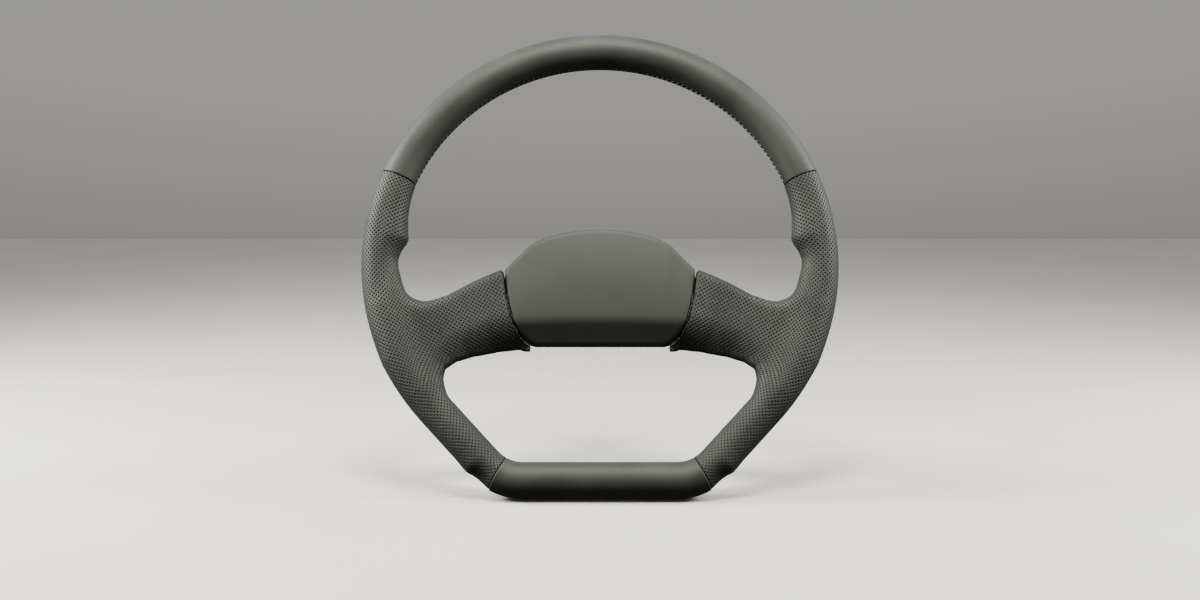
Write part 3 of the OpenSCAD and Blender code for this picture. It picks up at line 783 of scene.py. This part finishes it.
# ---------- steel parts and screws ----------
# Bright zinc plate over mild steel: a cool silver with a faint blue and straw cloud. The six hub
# screws are high-tensile socket heads, blacked in hot salts and oiled.
zinc_plate = turned_metal("bright_zinc_plate", "a2a8ad", "c8c6bd", 0.26)
clad(zinc_plate, "column_adapter", "rim_rod", "cover_screws", "horn_base_screws", "guide_posts",
     "contact_rivets")
blacked_steel = turned_metal("blacked_steel", "1d1e20", "34363a", 0.32)
clad(blacked_steel, "hub_screws")

# ---------- brass contacts ----------
# Free-cutting brass, lightly tarnished, for the parts that carry the horn's current.
contact_brass = turned_metal("tarnished_brass", "94763a", "c2a05a", 0.24)
clad(contact_brass, "socket_sleeve", "contact_pin", "fixed_contacts", "moving_contact")

# ---------- moulded plastic parts ----------
# Glass-filled nylon, black, from spark-eroded tools: a dull grain of about 0.5 mm with softer,
# shinier high spots.
black_nylon, shader = new_material("black_glass_filled_nylon")
tree = black_nylon.node_tree
place = add(tree, "TexCoord").outputs["Object"]
eroded = add(tree, "TexNoise", {"Vector": place, "Scale": 1700.0, "Detail": 2.0})
base = two_tone(tree, eroded.outputs["Fac"], "131413", "232523", 0.35, 0.65)
tree.links.new(base, shader.inputs["Base Color"])
gloss = add(tree, "MapRange", {"Value": eroded.outputs["Fac"], "To Min": 0.62, "To Max": 0.42})
tree.links.new(gloss.outputs[0], shader.inputs["Roughness"])
relief = add(tree, "Bump", {"Height": eroded.outputs["Fac"], "Strength": 0.4, "Distance": 0.0002})
tree.links.new(relief.outputs[0], shader.inputs["Normal"])
clad(black_nylon, "contact_socket", "contact_bush", "rear_cover", "horn_base", "pad_frame")

# ---------- horn lead ----------
# Single core in red PVC, smooth and a little glossy, with faint scuffs.
red_pvc, shader = new_material("red_pvc_jacket")
tree = red_pvc.node_tree
place = add(tree, "TexCoord").outputs["Object"]
scuffs = add(tree, "TexNoise", {"Vector": place, "Scale": 260.0, "Detail": 4.0})
base = two_tone(tree, scuffs.outputs["Fac"], "8c1b17", "ab2a22", 0.4, 0.7)
tree.links.new(base, shader.inputs["Base Color"])
gloss = add(tree, "MapRange", {"Value": scuffs.outputs["Fac"], "To Min": 0.3, "To Max": 0.5})
tree.links.new(gloss.outputs[0], shader.inputs["Roughness"])
clad(red_pvc, "horn_wire")

# ---------- floor, light and camera ----------
# A pale matt table top, with soft light from a panel above the camera and one at each side.
# The wheel leans back against the camera, so the table rises towards the hub in the wheel's frame.
TABLE_TILT = math.radians(18)
rest_y = RIM_Y + GRIP_R * math.sin(TABLE_TILT)
rest_z = BAR_Z - GRIP_R * math.cos(TABLE_TILT) - 0.0005
bpy.ops.object.select_all(action="DESELECT")
bpy.ops.mesh.primitive_grid_add(x_subdivisions=24, y_subdivisions=24, size=8, location=(0, rest_y, rest_z),
                                rotation=(TABLE_TILT, 0, 0))
table = bpy.context.object
table.name = "table_top"
table_finish, shader = new_material("pale_table")
tree = table_finish.node_tree
place = add(tree, "TexCoord").outputs["Object"]
mottle = add(tree, "TexNoise", {"Vector": place, "Scale": 3.0, "Detail": 6.0})
base = two_tone(tree, mottle.outputs["Fac"], "ebe8e5", "f3f1ef", 0.3, 0.7)
tree.links.new(base, shader.inputs["Base Color"])
shader.inputs["Roughness"].default_value = 0.8
table.data.materials.append(table_finish)

# The room is brighter above than below, as under a light tent. The table is hidden from diffuse and
# glossy rays, which a real one isn't, because its bounce would light the undersides.
table.visible_diffuse = False
table.visible_glossy = False
world = bpy.data.worlds.new("studio")
world.use_nodes = True
tree = world.node_tree
sky = add(tree, "SeparateXYZ", {0: add(tree, "TexCoord").outputs["Generated"]})
room = two_tone(tree, sky.outputs["Z"], "6e6a66", "ece9e6", 0.02, 0.34)
tree.links.new(room, tree.nodes["Background"].inputs["Color"])
tree.nodes["Background"].inputs["Strength"].default_value = 0.42
bpy.context.scene.world = world


def soft_light(name, place, at, size, power, colour):
    lamp = bpy.data.lights.new(name, "AREA")
    lamp.shape = "DISK"
    lamp.size = size
    lamp.energy = power
    lamp.color = colour
    obj = bpy.data.objects.new(name, lamp)
    obj.location = place
    obj.rotation_euler = (Vector(at) - Vector(place)).to_track_quat("-Z", "Y").to_euler()
    bpy.context.scene.collection.objects.link(obj)


soft_light("overhead", (0.0, -1.05, 1.15), (0, -0.12, -0.02), 0.6, 29.0, (1.0, 0.98, 0.95))
soft_light("left_side", (-1.25, -0.3, 0.6), (0, -0.12, -0.05), 0.7, 35.0, (1.0, 0.98, 0.96))
soft_light("right_side", (1.25, -0.3, 0.6), (0, -0.12, -0.05), 0.7, 22.0, (1.0, 0.98, 0.96))

lens = bpy.data.cameras.new("camera")
lens.sensor_width = 36.0
lens.lens = 39.24
camera = bpy.data.objects.new("camera", lens)
camera.location = (0, -1.3038, -0.2876)
camera.rotation_euler = (math.radians(90 + 12), 0, 0)
bpy.context.scene.collection.objects.link(camera)
bpy.context.scene.camera = camera
